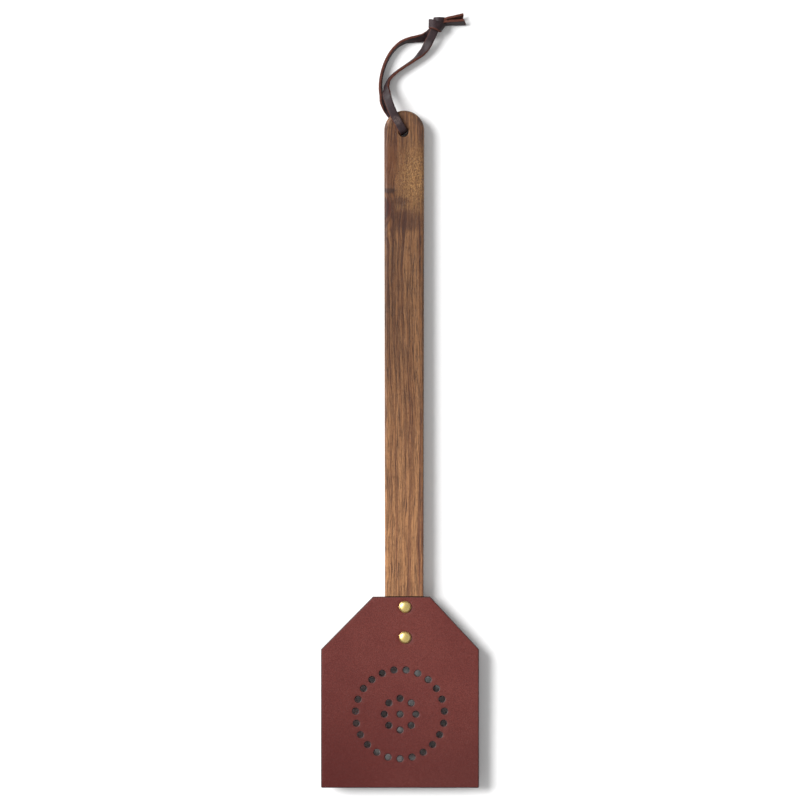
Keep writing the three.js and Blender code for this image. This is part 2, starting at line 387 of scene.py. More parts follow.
def mixed(tree, factor, first, second):
    inputs = {"Factor": factor, 6: first, 7: second}
    return node(tree, "Mix", inputs, data_type="RGBA").outputs[2]


def ranged(tree, value, low, high, out_low=0.0, out_high=1.0):
    """Maps low..high smoothly to out_low..out_high, held at both ends."""
    inputs = {"Value": value, 1: low, 2: high, 3: out_low, 4: out_high}
    return node(tree, "MapRange", inputs, interpolation_type="SMOOTHSTEP").outputs[0]


def millimetres(tree):
    """The point on the piece, in millimetres of the row frame, before any pose."""
    place = node(tree, "TexCoord").outputs["Object"]
    return node(tree, "VectorMath", {0: place, 1: (1000, 1000, 1000)}, operation="MULTIPLY").outputs[0]


def stretched(tree, place, scale, offset=(0, 0, 0)):
    inputs = {"Vector": place, "Scale": scale, "Location": offset}
    return node(tree, "Mapping", inputs, vector_type="POINT").outputs[0]


def noise_value(tree, place, scale, detail=4.0, roughness=0.55):
    inputs = {"Vector": place, "Scale": scale, "Detail": detail, "Roughness": roughness}
    return node(tree, "TexNoise", inputs).outputs[0]


def spot(tree, place, centre, radii):
    """1 at a point (x, y) in millimetres, fading to 0 at the ellipse that radii gives."""
    away = node(tree, "VectorMath", {0: place, 1: (*centre, 0)}, operation="SUBTRACT").outputs[0]
    factors = (1 / radii[0], 1 / radii[1], 0)
    scaled = node(tree, "VectorMath", {0: away, 1: factors}, operation="MULTIPLY").outputs[0]
    distance = node(tree, "VectorMath", {0: scaled}, operation="LENGTH").outputs["Value"]
    return ranged(tree, distance, 1.0, 0.0)


def surface(name):
    """A new material with one principled shader, as (material, tree, shader)."""
    material = bpy.data.materials.new(name)
    material.use_nodes = True
    tree = material.node_tree
    return material, tree, tree.nodes["Principled BSDF"]


def set_bump(tree, shader, height, distance, strength=1.0):
    bump = node(tree, "Bump", {"Height": height, "Distance": distance, "Strength": strength})
    tree.links.new(bump.outputs[0], shader.inputs["Normal"])


# ---------------------------------------------------------------- materials


def head_leather():
    """Oxblood leather with a fine pebble grain, with painted shade that darkens it towards its free end,
    deepest and reddest at the lower left, and a painted highlight and painted shade in the grain.
    """
    material, tree, shader = surface("oxblood_leather")
    place = millimetres(tree)
    cells = {"Vector": place, "Scale": 2.3, "Smoothness": 0.5}
    pebbles = node(tree, "TexVoronoi", cells, feature="SMOOTH_F1").outputs["Distance"]
    fine = noise_value(tree, place, 3.0, 3.0, 0.6)
    clouds = noise_value(tree, place, 0.03, 3.0, 0.5)
    colour = mixed(tree, ranged(tree, clouds, 0.3, 0.7), srgb("612824"), srgb("6a302a"))
    # Painted shade: darker and redder towards the lower left of the head.
    painted_shade_lower_left = spot(tree, place, (-45.0, -235.0), (95.0, 115.0))
    colour = mixed(tree, maths(tree, "MULTIPLY", painted_shade_lower_left, 0.95), colour, srgb("470b08"))
    # Painted shade: darker towards the lower right of the head.
    painted_shade_lower_right = spot(tree, place, (45.0, -240.0), (80.0, 95.0))
    colour = mixed(tree, maths(tree, "MULTIPLY", painted_shade_lower_right, 0.8), colour, srgb("4a1a16"))
    # Painted highlight: pale speckle on the raised bumps of the grain.
    colour = mixed(tree, ranged(tree, fine, 0.48, 0.7, 0.0, 0.4), colour, srgb("84504b"))
    # Painted shade: darker in the valleys between the pebbles.
    colour = mixed(tree, ranged(tree, pebbles, 0.25, 0.62, 0.0, 0.5), colour, srgb("3c1310"))
    tree.links.new(colour, shader.inputs["Base Color"])
    tree.links.new(ranged(tree, fine, 0.3, 0.7, 0.36, 0.45), shader.inputs["Roughness"])
    shader.inputs["Specular IOR Level"].default_value = 0.22
    height = maths(tree, "SUBTRACT", maths(tree, "MULTIPLY", fine, 0.6), pebbles)
    set_bump(tree, shader, height, 0.12 * MM, 1.0)
    return material


def head_leather_edge():
    """The head's cut and burnished edges, and the walls of its punched holes."""
    material, tree, shader = surface("burnished_edge")
    place = millimetres(tree)
    fibres = noise_value(tree, stretched(tree, place, (1, 1, 4)), 1.6, 4.0, 0.6)
    colour = mixed(tree, ranged(tree, fibres, 0.35, 0.7), srgb("1d0a0a"), srgb("3c1714"))
    tree.links.new(colour, shader.inputs["Base Color"])
    shader.inputs["Roughness"].default_value = 0.5
    set_bump(tree, shader, fibres, 0.1 * MM, 0.6)
    return material


def grain_round_knot(tree, place):
    """The grain's own coordinates: they sway a little, and turn round a knot at the handle's edge."""
    knot_x, knot_y, squeeze = -13.5, 161.0, 0.5
    x, y, z = node(tree, "SeparateXYZ", {"Vector": place}).outputs
    sway = noise_value(tree, stretched(tree, place, (0.05, 0.012, 0.05)), 1.0, 3.0, 0.5)
    push = maths(tree, "MULTIPLY", maths(tree, "SUBTRACT", sway, 0.5), 9.0)
    across = maths(tree, "SUBTRACT", x, knot_x)
    down = maths(tree, "MULTIPLY", maths(tree, "SUBTRACT", y, knot_y), squeeze)
    squared = maths(tree, "ADD", maths(tree, "MULTIPLY", across, across), maths(tree, "MULTIPLY", down, down))
    ring = maths(tree, "SUBTRACT", maths(tree, "SQRT", squared), abs(knot_x))
    near = spot(tree, place, (knot_x, knot_y), (21.0, 30.0))
    bend = maths(tree, "MULTIPLY", near, maths(tree, "SUBTRACT", ring, x))
    bent_x = maths(tree, "ADD", maths(tree, "ADD", x, bend), push)
    return node(tree, "CombineXYZ", {0: bent_x, 1: y, 2: z}).outputs[0]


def stain(tree, place, breakup, centre, radii):
    """A patch of colour that fills about two thirds of its radii, its outline broken up by a noise."""
    total = maths(tree, "ADD", spot(tree, place, centre, radii), maths(tree, "MULTIPLY", breakup, 1.6))
    return ranged(tree, total, 0.9, 1.6)


def knot_rings(tree, place):
    """Growth rings round the knot at the handle's edge, 1 on each dark ring."""
    eye = (-13.5, 160.0)
    away = node(tree, "VectorMath", {0: place, 1: (*eye, 0)}, operation="SUBTRACT").outputs[0]
    flat = node(tree, "VectorMath", {0: away, 1: (1.0, 0.6, 0)}, operation="MULTIPLY").outputs[0]
    distance = node(tree, "VectorMath", {0: flat}, operation="LENGTH").outputs["Value"]
    wobble = noise_value(tree, place, 0.22, 3.0, 0.6)
    phase = maths(tree, "ADD", maths(tree, "MULTIPLY", distance, 2.2), maths(tree, "MULTIPLY", wobble, 5.0))
    wave = maths(tree, "SINE", phase)
    return maths(tree, "MULTIPLY", ranged(tree, wave, 0.0, 0.8), spot(tree, place, eye, (19.0, 26.0)))


def wood_flecks(tree, place):
    """Short, slightly slanted open pores, 1 inside each."""
    slanted = node(tree, "VectorRotate", {"Vector": place, "Angle": 0.3}, rotation_type="Z_AXIS").outputs[0]
    cells = node(tree, "TexVoronoi", {"Vector": stretched(tree, slanted, (1.9, 0.95, 1.0)), "Scale": 1.0})
    return ranged(tree, cells.outputs["Distance"], 0.5, 0.15)


def handle_wood():
    """Oiled hardwood: long streaks and pores, paler at the head end, figured and smudged near the butt."""
    material, tree, shader = surface("streaked_hardwood")
    place = millimetres(tree)
    y = node(tree, "SeparateXYZ", {"Vector": place}).outputs[1]
    bent = grain_round_knot(tree, place)
    bands = noise_value(tree, stretched(tree, bent, (0.4, 0.005, 0.2)), 1.0, 3.0, 0.6)
    streaks = noise_value(tree, stretched(tree, bent, (1.9, 0.02, 0.9)), 1.0, 5.0, 0.72)
    pale_lines = noise_value(tree, stretched(tree, bent, (2.6, 0.035, 1.4), (5, 2, 0)), 1.0, 4.0, 0.7)
    ticks = noise_value(tree, stretched(tree, bent, (4.8, 0.4, 2.4), (3, 9, 4)), 1.0, 2.0, 0.6)
    pores = noise_value(tree, stretched(tree, bent, (4.4, 0.07, 2.4), (7, 3, 1)), 1.0, 2.0, 0.6)

    towards_butt = ranged(tree, y, -90.0, 110.0)
    pale = mixed(tree, towards_butt, srgb("a6774f"), srgb("7f5838"))
    middle = mixed(tree, towards_butt, srgb("784b2e"), srgb("59351e"))
    dark = mixed(tree, towards_butt, srgb("43261a"), srgb("2a160e"))
    violet = mixed(tree, towards_butt, srgb("65433a"), srgb("40261d"))
    colour = mixed(tree, ranged(tree, bands, 0.36, 0.62), middle, pale)
    colour = mixed(tree, ranged(tree, bands, 0.5, 0.36, 0.0, 0.5), colour, violet)
    colour = mixed(tree, ranged(tree, streaks, 0.5, 0.61, 0.0, 0.8), colour, dark)
    colour = mixed(tree, ranged(tree, pale_lines, 0.53, 0.62, 0.0, 0.75), colour, pale)
    colour = mixed(tree, ranged(tree, pores, 0.53, 0.64, 0.0, 0.9), colour, dark)
    colour = mixed(tree, ranged(tree, ticks, 0.54, 0.66, 0.0, 0.6), colour, dark)

    flecks = wood_flecks(tree, place)
    breakup = noise_value(tree, stretched(tree, place, (0.5, 0.2, 0.4)), 1.0, 4.0, 0.7)
    golden = spot(tree, place, (12.0, 180.0), (22.0, 32.0))
    colour = mixed(tree, maths(tree, "MULTIPLY", golden, 0.65), colour, srgb("8f653a"))
    mottle = noise_value(tree, stretched(tree, place, (1.5, 0.7, 1.0)), 1.0, 4.0, 0.75)
    lit = maths(tree, "MULTIPLY", golden, ranged(tree, mottle, 0.5, 0.6, 0.0, 0.8))
    colour = mixed(tree, lit, colour, srgb("a07a4a"))
    shaded = maths(tree, "MULTIPLY", golden, ranged(tree, mottle, 0.5, 0.4, 0.0, 0.9))
    colour = mixed(tree, shaded, colour, srgb("482a17"))
    reddened = spot(tree, place, (-10.0, 190.0), (17.0, 36.0))
    colour = mixed(tree, maths(tree, "MULTIPLY", reddened, 0.6), colour, srgb("52280f"))
    flecks = maths(tree, "MULTIPLY", flecks, stain(tree, place, breakup, (9.0, 180.0), (26.0, 38.0)))
    colour = mixed(tree, maths(tree, "MULTIPLY", flecks, 0.7), colour, srgb("331c10"))
    for centre, radii, code, strength in (
        ((2.0, 151.5), (22.0, 13.0), "3c2015", 0.7),
        ((-9.5, 159.0), (8.0, 13.0), "3e160e", 0.85),
        ((-6.6, 150.0), (3.0, 8.0), "764b29", 0.5),
        ((0.5, 164.6), (8.0, 5.5), "3b2015", 0.65),
        ((-7.0, 171.6), (8.0, 3.4), "24110c", 0.7),
    ):
        uneven = maths(tree, "MULTIPLY", maths(tree, "ADD", streaks, breakup), 0.5)
        patch = stain(tree, place, uneven, centre, radii)
        colour = mixed(tree, maths(tree, "MULTIPLY", patch, strength), colour, srgb(code))
    rings = knot_rings(tree, place)
    colour = mixed(tree, maths(tree, "MULTIPLY", rings, 0.9), colour, srgb("2b120b"))
    tree.links.new(colour, shader.inputs["Base Color"])
    tree.links.new(ranged(tree, streaks, 0.3, 0.7, 0.4, 0.55), shader.inputs["Roughness"])
    shader.inputs["Specular IOR Level"].default_value = 0.3
    height = maths(tree, "MULTIPLY", ranged(tree, pores, 0.53, 0.62), -1.0)
    height = maths(tree, "SUBTRACT", height, maths(tree, "MULTIPLY", streaks, 0.5))
    height = maths(tree, "SUBTRACT", height, maths(tree, "MULTIPLY", flecks, 0.5))
    set_bump(tree, shader, height, 0.12 * MM, 0.8)
    return material


def rivet_brass():
    """Satin brass, faintly scratched and a little uneven."""
    material, tree, shader = surface("satin_brass")
    place = millimetres(tree)
    worn = noise_value(tree, place, 0.9, 4.0, 0.6)
    scratches = noise_value(tree, stretched(tree, place, (9, 1.2, 9)), 1.0, 4.0, 0.6)
    colour = mixed(tree, ranged(tree, worn, 0.35, 0.7), srgb("f0d892"), srgb("dcc074"))
    tree.links.new(colour, shader.inputs["Base Color"])
    shader.inputs["Metallic"].default_value = 1.0
    tree.links.new(ranged(tree, worn, 0.3, 0.7, 0.32, 0.42), shader.inputs["Roughness"])
    set_bump(tree, shader, scratches, 0.01 * MM, 0.5)
    return material


def rivet_brass_rim():
    """The edge under a cap's dome, its dark colour partly tarnish and partly painted shade."""
    material, tree, shader = surface("tarnish_and_painted_shade_brass")
    stains = noise_value(tree, millimetres(tree), 2.0, 4.0, 0.6)
    # Painted shade and tarnish: the rim is coloured much darker than the dome.
    tree.links.new(mixed(tree, stains, srgb("4a3415"), srgb("80642a")), shader.inputs["Base Color"])
    shader.inputs["Metallic"].default_value = 1.0
    shader.inputs["Roughness"].default_value = 0.45
    return material


def lace_face():
    """The smooth, dark side of the lace, scuffed pale where it bends out of the hole."""
    material, tree, shader = surface("lace_grain_side")
    place = millimetres(tree)
    clouds = noise_value(tree, place, 0.35, 4.0, 0.6)
    grain = noise_value(tree, place, 2.6, 4.0, 0.65)
    colour = mixed(tree, ranged(tree, clouds, 0.3, 0.7), srgb("1d1215"), srgb("2b1d20"))
    colour = mixed(tree, ranged(tree, grain, 0.5, 0.72, 0.0, 0.4), colour, srgb("55393a"))
    bend = node(tree, "VectorMath", {0: place, 1: (-2.2, 218.2, 13.2)}, operation="DISTANCE").outputs["Value"]
    speckle = maths(tree, "MULTIPLY", ranged(tree, grain, 0.42, 0.66), ranged(tree, bend, 4.5, 1.0))
    colour = mixed(tree, maths(tree, "MULTIPLY", speckle, 0.75), colour, srgb("7d6c68"))
    tree.links.new(colour, shader.inputs["Base Color"])
    tree.links.new(ranged(tree, clouds, 0.3, 0.7, 0.5, 0.62), shader.inputs["Roughness"])
    shader.inputs["Specular IOR Level"].default_value = 0.25
    set_bump(tree, shader, grain, 0.09 * MM, 0.6)
    return material


def lace_fibre(name, pale, dark):
    """The lace's cut edges or flesh side: reddish, fibrous and pitted."""
    material, tree, shader = surface(name)
    place = millimetres(tree)
    fibres = noise_value(tree, place, 1.5, 5.0, 0.7)
    pits = noise_value(tree, place, 0.95, 3.0, 0.6)
    colour = mixed(tree, ranged(tree, fibres, 0.35, 0.68), srgb(dark), srgb(pale))
    colour = mixed(tree, ranged(tree, pits, 0.55, 0.68, 0.0, 0.7), colour, srgb("2a1613"))
    tree.links.new(colour, shader.inputs["Base Color"])
    shader.inputs["Roughness"].default_value = 0.85
    shader.inputs["Specular IOR Level"].default_value = 0.25
    set_bump(tree, shader, fibres, 0.25 * MM, 0.8)
    return material


leather = head_leather()
leather_edge = head_leather_edge()
wood = handle_wood()
brass = rivet_brass()
brass_rim = rivet_brass_rim()
LACE = (
    lace_face(),
    lace_fibre("lace_cut_edge", "633629", "3a1d17"),
    lace_fibre("lace_flesh_side", "553126", "341c17"),
)
GRAIN_SIDE, CUT_EDGE, FLESH_SIDE = range(3)

# ---------------------------------------------------------------- lace


def smooth_route(route, spacing):
    """Evenly spaced (place, roll) along a smooth curve through the route's points, in metres and radians."""
    places = [Vector(point[:3]) * MM for point in route]
    rolls = [math.radians(point[3]) for point in route]
    last = len(places) - 1
    directions = []
    for i in range(last + 1):
        directions.append((places[min(i + 1, last)] - places[max(i - 1, 0)]).normalized())
    dense = []
    substeps = 24
    for i in range(last):
        reach = (places[i + 1] - places[i]).length / 3
        start, end = places[i], places[i + 1]
        leaving = start + directions[i] * reach
        arriving = end - directions[i + 1] * reach
        points = geometry.interpolate_bezier(start, leaving, arriving, end, substeps + 1)
        for k, point in enumerate(points[:-1]):
            share = k / substeps
            eased = share * share * (3 - 2 * share)
            dense.append((point, rolls[i] + (rolls[i + 1] - rolls[i]) * eased))
    dense.append((places[-1], rolls[-1]))
    return resampled(dense, spacing)


def resampled(dense, spacing):
    """The same curve with its points evenly spaced along it."""
    lengths = [0.0]
    for (before, _), (after, _) in zip(dense, dense[1:]):
        lengths.append(lengths[-1] + (after - before).length)
    count = max(2, round(lengths[-1] / spacing))
    samples = []
    segment = 0
    for i in range(count + 1):
        wanted = lengths[-1] * i / count
        while segment < len(dense) - 2 and lengths[segment + 1] < wanted:
            segment += 1
        step = lengths[segment + 1] - lengths[segment]
        share = (wanted - lengths[segment]) / step if step > 0 else 0
        place = dense[segment][0].lerp(dense[segment + 1][0], share)
        roll = dense[segment][1] * (1 - share) + dense[segment + 1][1] * share
        samples.append((place, roll))
    return samples


def strip_frames(samples):
    """(place, across, up) at each sample: level across the strip but for the roll."""
    places = [place for place, _ in samples]
    last = len(places) - 1
    tangents = [(places[min(i + 1, last)] - places[max(i - 1, 0)]).normalized() for i in range(last + 1)]
    level = [Vector((t.x, t.y, 0)) for t in tangents]
    first = next(heading for heading in level if heading.length > 0.2).normalized()
    frames = []
    for (place, roll), tangent, heading in zip(samples, tangents, level):
        ahead = heading.normalized() if heading.length > 0.2 else first
        across = Matrix.Rotation(roll, 3, tangent) @ Vector((ahead.y, -ahead.x, 0))
        up = across.cross(tangent).normalized()
        frames.append((place, across, up))
    return frames


def lace_section(width, thickness):
    """(across, up, side) round a lace's rounded section, anticlockwise from its lower left."""
    half_width = width / 2
    half_thickness = thickness / 2
    corner = 0.35 * half_thickness
    inner_width = half_width - corner
    inner_thickness = half_thickness - corner
    diagonal = corner * math.sqrt(0.5)
    points = []
    for share in (-1, -0.6, -0.2, 0.2, 0.6, 1):
        points.append((inner_width * share, -half_thickness, FLESH_SIDE))
    points.append((inner_width + diagonal, -inner_thickness - diagonal, CUT_EDGE))
    points.append((half_width, -inner_thickness, CUT_EDGE))
    points.append((half_width, 0.0, CUT_EDGE))
    points.append((half_width, inner_thickness, CUT_EDGE))
    points.append((inner_width + diagonal, inner_thickness + diagonal, GRAIN_SIDE))
    for share in (1, 0.6, 0.2, -0.2, -0.6, -1):
        crown = 0.03 * thickness * (1 - share * share)
        points.append((inner_width * share, half_thickness + crown, GRAIN_SIDE))
    points.append((-inner_width - diagonal, inner_thickness + diagonal, CUT_EDGE))
    points.append((-half_width, inner_thickness, CUT_EDGE))
    points.append((-half_width, 0.0, CUT_EDGE))
    points.append((-half_width, -inner_thickness, CUT_EDGE))
    points.append((-inner_width - diagonal, -inner_thickness - diagonal, FLESH_SIDE))
    return points


def ragged(place, seed, amount):
    """A small uneven offset, coarse and fine together, the same on every run."""
    coarse = noise.noise(place * 350 + Vector((seed, 0, 0)))
    fine = noise.noise(place * 1900 + Vector((0, seed, 0)))
    return amount * (0.6 * coarse + 0.5 * fine)


def ribbon(name, frames, width, thickness, seed, roughness=0.14 * MM, flipped=False, slant=0.0):
    """A solid strip along frames of (place, across, up). flipped puts its smooth side below."""
    section = lace_section(width, thickness)
    sides = [side for _, _, side in section]
    if flipped:
        swap = {GRAIN_SIDE: FLESH_SIDE, CUT_EDGE: CUT_EDGE, FLESH_SIDE: GRAIN_SIDE}
        sides = [swap[side] for side in sides]
    vertices = []
    count = len(section)
    last = len(frames) - 1
    for i, (place, across, up) in enumerate(frames):
        tangent = up.cross(across)
        left = ragged(place, seed, roughness)
        right = ragged(place, seed + 7.3, roughness)
        swell = ragged(place, seed + 3.1, 0.4 * roughness)
        pull = slant * max(0.0, 1 - (last - i) / 6)
        for a, u, _ in section:
            edge = right if a > 0 else left
            wide = a * (1 + 2 * edge / width)
            thick = u * (1 + 2 * swell / thickness)
            vertices.append(place + across * wide + up * thick + tangent * (pull * a))
    faces = []
    face_materials = []
    for i in range(last):
        for k in range(count):
            after = (k + 1) % count
            base, above = i * count, (i + 1) * count
            faces.append((base + k, base + after, above + after, above + k))
            face_materials.append(sides[k] if sides[k] == sides[after] else CUT_EDGE)
    faces.append(tuple(range(count)))
    faces.append(tuple(last * count + k for k in range(count)))
    face_materials += [CUT_EDGE, CUT_EDGE]
    return mesh_piece(name, vertices, faces, LACE, face_materials, sharp_angle=60)


def mouth_route(side, rest_z, first_point):
    """From inside the hang hole, round its rim and out. side is 1 at the front, -1 at the back."""
    bend = THONG_BEND_RADIUS / MM
    start = HANG_HOLE.to_2d() / MM
    middle_z = (HANDLE_BACK_Z + HANDLE_FRONT_Z) / 2 / MM
    heading = (Vector(first_point[:2]) - start).normalized()
    points = [(start.x, start.y, middle_z, 0)]
    for step in range(5):
        turn = math.pi / 2 * step / 4
        place = start + heading * bend * (1 - math.cos(turn))
        points.append((place.x, place.y, rest_z - side * bend * (1 - math.sin(turn)), 0))
    return points


def make_strand(name, route, seed, node_name):
    """One strand of the hang loop, from inside the hole to the knot."""
    samples = smooth_route(route, THONG_SPACING)
    strand = ribbon(name, strip_frames(samples), THONG_WIDTH, THONG_THICKNESS, seed)
    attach(strand, "hang_loop")
    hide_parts(node_name)


def make_tail(name, route, seed, flipped, slant, node_name):
    frames = strip_frames(smooth_route(route, THONG_SPACING))
    tail = ribbon(name, frames, THONG_WIDTH, THONG_THICKNESS, seed, flipped=flipped, slant=slant)
    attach(tail, "hang_loop")
    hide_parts(node_name)
    return tail


def wrap_frames(centre, heading, side_radius, top_radius, flare, lean, steps=84):
    """Frames of a band closed round an axis that heads that way, in degrees.

    flare opens the band's sides towards its far end, and lean tips its top back the other way.
    """
    axis = Vector((math.cos(math.radians(heading)), math.sin(math.radians(heading)), 0))
    aside = Vector((-axis.y, axis.x, 0))
    upright = Vector((0, 0, 1))
    frames = []
    for i in range(steps + 1):
        angle = math.tau * i / steps - math.pi / 2
        sideways, upwards = math.cos(angle), math.sin(angle)
        outward = (aside * sideways / side_radius + upright * upwards / top_radius).normalized()
        offset = aside * sideways * side_radius + upright * upwards * top_radius
        tip = flare * abs(sideways) - lean * max(0.0, upwards)
        across = (axis + outward * tip).normalized()
        up = (outward - axis * tip).normalized()
        frames.append((centre + offset, across, up))
    return frames


def make_knot():
    """The knot: a broad turn of the lace across its front, and a tighter one behind it."""
    front = wrap_frames(Vector(KNOT_FRONT_TURN) * MM, 71, 4.3 * MM, 3.5 * MM, 0.36, 0.5)
    front_turn = ribbon("lace_knot", front, 6.2 * MM, 2.0 * MM, 21.0)
    rear = wrap_frames(Vector(KNOT_REAR_TURN) * MM, 90, 3.0 * MM, 2.7 * MM, 0.0, 0.0)
    rear_turn = ribbon("rear_turn", rear, 4.6 * MM, THONG_THICKNESS, 27.0)
    work = bmesh.new()
    work.from_mesh(front_turn.data)
    work.from_mesh(rear_turn.data)
    bpy.data.objects.remove(rear_turn)
    for vertex in work.verts:
        vertex.co.z = max(vertex.co.z, 0.06 * MM)
    work.to_mesh(front_turn.data)
    work.free()
    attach(front_turn, "hang_loop")
    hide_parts("thong_knot")
    return front_turn


knot = make_knot()
upper_points = UPPER_TAIL_ENTRY + UPPER_TAIL_ROUTE
lower_points = LOWER_TAIL_ENTRY + LOWER_TAIL_ROUTE
upper_tail = make_tail("lace_tail_upper", upper_points, 31.0, False, 0.25, "thong_tail_upper")
lower_tail = make_tail("lace_tail_lower", lower_points, 37.0, True, -0.2, "thong_tail_lower")
front_points = mouth_route(1, THONG_FRONT_Z, FRONT_ROUTE[0]) + FRONT_ROUTE + FRONT_ENTRY
back_points = mouth_route(-1, THONG_FLOOR_Z, BACK_ROUTE[0]) + BACK_ROUTE + BACK_ENTRY
make_strand("lace_front", front_points, 3.0, "thong_front")
make_strand("lace_back", back_points, 11.0, "thong_back")

# ---------------------------------------------------------------- leather head


def punched_holes():
    """(x, y) of every punched hole, ring by ring."""
    places = []
    for count, radius in PUNCH_RINGS:
        for i in range(count):
            angle = 2 * math.pi * i / count - math.pi / 2
            places.append(Vector((radius * math.cos(angle), PUNCH_CENTRE_Y + radius * math.sin(angle))))
    return places


def head_outline():
    """Anticlockwise from the lower right corner: shoulders, straight top edge, square lower corners."""
    half = HEAD_HALF_WIDTH
    shoulder_y = HEAD_TOP_Y - SHOULDER_DROP
    corner = HEAD_CORNER_RADIUS
    spacing = 2 * MM
    lower_right = arc_points(half - corner, HEAD_END_Y + corner, corner, 270, 360, 6)
    lower_left = arc_points(-half + corner, HEAD_END_Y + corner, corner, 180, 270, 6)
    corners = [
        Vector((half, shoulder_y)),
        Vector((HEAD_TOP_RIGHT_X, HEAD_TOP_Y)),
        Vector((HEAD_TOP_LEFT_X, HEAD_TOP_Y)),
        Vector((-half, shoulder_y)),
    ]
    loop = [*lower_right[:-1]]
    stops = [lower_right[-1], *corners, lower_left[0]]
    for start, end in zip(stops, stops[1:]):
        loop += along(start, end, spacing)
    loop += lower_left[:-1]
    loop += along(lower_left[-1], lower_right[0], spacing)
    return loop


def circle_loop(centre, radius, steps, clockwise):
    points = arc_points(centre.x, centre.y, radius, 0, 360, steps)[:-1]
    return points[::-1] if clockwise else points


def head_fill(outline, holes, spacing):
    """Points over the head, clear of its outline and its holes, and closer together round the rivets."""
    rivets = [centre.to_2d() for centre in RIVET_CENTRES.values()]
    points = []
    for rivet in rivets:
        for radius in (3.4, 3.9, 4.3, 4.8, 5.5, 6.5):
            points += circle_loop(rivet, radius * MM, 32, False)
    rows = round((HEAD_TOP_Y - HEAD_END_Y) / spacing)
    columns = round(2 * HEAD_HALF_WIDTH / spacing)
    for row in range(rows + 1):
        for column in range(columns + 1):
            x = -HEAD_HALF_WIDTH + spacing * (column + 0.5 * (row % 2))
            point = Vector((x, HEAD_END_Y + spacing * row))
            clear_of_rivets = all((point - rivet).length > RIVET_FILL_CLEARANCE for rivet in rivets)
            clear_of_holes = all((point - hole).length > PUNCH_RADIUS + FILL_MARGIN for hole in holes)
            if clear_of_rivets and clear_of_holes and well_inside(point, outline, FILL_MARGIN):
                points.append(point)
    return points


def well_inside(point, outline, margin):
    if not inside_polygon(point, outline):
        return False
    return all((point - corner).length > margin for corner in outline)


def head_wave(place):
    """How far the leather stands off its plane: a slight, slow unevenness of the free part."""
    free = min(1.0, max(0.0, (HINGE.y - place.y) / (60 * MM)))
    return 0.55 * MM * free * noise.noise(Vector((place.x * 16, place.y * 13, 2.7)))


def make_head():
    outline = head_outline()
    holes = punched_holes()
    hole_loops = [circle_loop(hole, PUNCH_RADIUS, 36, True) for hole in holes]
    fill = head_fill(outline, holes, 1.9 * MM)
    head = rounded_plate(
        "leather_head", outline, hole_loops, LEATHER_BACK_Z, LEATHER_FRONT_Z,
        lambda point: LEATHER_ROUNDING, fill, (leather, leather_edge),
    )
    for vertex in head.data.vertices:
        place = vertex.co
        place.z += head_wave(place)
        if place.z > (LEATHER_BACK_Z + LEATHER_FRONT_Z) / 2:
            for rivet in RIVET_CENTRES.values():
                away = (place.to_2d() - rivet.to_2d()).length - 3.8 * MM
                place.z -= 0.35 * MM * math.exp(-((max(away, 0.0) / (1.1 * MM)) ** 2))
    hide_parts("leather_root", "leather_flap")
    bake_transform(head)


make_head()

# ---------------------------------------------------------------- wooden handle


def handle_outline():
    spacing = 2.5 * MM
    low_left = Vector((HANDLE_X - HANDLE_HEAD_HALF_WIDTH, TONGUE_END_Y))
    low_right = Vector((HANDLE_X + HANDLE_HEAD_HALF_WIDTH, TONGUE_END_Y))
    butt = arc_points(HANDLE_X, BUTT_CENTRE_Y, BUTT_RADIUS, 0, 180, 56)
    loop = along(low_left, low_right, spacing)
    loop += along(low_right, butt[0], spacing)
    loop += butt[:-1]
    loop += along(butt[-1], low_left, spacing)
    return loop


def handle_rounding(point):
    """The long edges are eased more and more towards the butt."""
    share = (point.y - HEAD_TOP_Y) / (BUTT_CENTRE_Y - HEAD_TOP_Y)
    return HEAD_END_ROUNDING + (BUTT_END_ROUNDING - HEAD_END_ROUNDING) * min(1.0, max(0.0, share))


def handle_fill(outline, spacing):
    points = []
    rows = round((handle_high.y - TONGUE_END_Y) / spacing)
    for row in range(rows + 1):
        for column in range(-4, 5):
            point = Vector((HANDLE_X + column * 2.4 * MM, TONGUE_END_Y + spacing * row))
            margin = handle_rounding(point) + 1.0 * MM
            if well_inside(point, outline, margin):
                points.append(point)
    return points


def cut(piece, cutter):
    """Takes cutter out of piece and removes it."""
    modifier = piece.modifiers.new("cut", "BOOLEAN")
    modifier.operation = "DIFFERENCE"
    modifier.solver = "EXACT"
    modifier.object = cutter
    bpy.context.view_layer.update()
    evaluated = piece.evaluated_get(bpy.context.evaluated_depsgraph_get())
    result = bpy.data.meshes.new_from_object(evaluated)
    piece.modifiers.clear()
    piece.data = result
    bpy.data.objects.remove(cutter)


def rebate_cutter():
    """The room for the leather: down to its back, and up to the shoulder it butts against."""
    low = Vector((HANDLE_X - 2 * BUTT_RADIUS, TONGUE_END_Y - 5 * MM, LEATHER_BACK_Z))
    high = Vector((HANDLE_X + 2 * BUTT_RADIUS, HEAD_TOP_Y + 0.35 * MM, HANDLE_FRONT_Z + 5 * MM))
    corners = [Vector((x, y, z)) for x in (low.x, high.x) for y in (low.y, high.y) for z in (low.z, high.z)]
    sides = [(0, 1, 3, 2), (4, 6, 7, 5), (0, 4, 5, 1), (2, 3, 7, 6), (0, 2, 6, 4), (1, 5, 7, 3)]
    return mesh_piece("rebate_cutter", corners, sides, [wood])


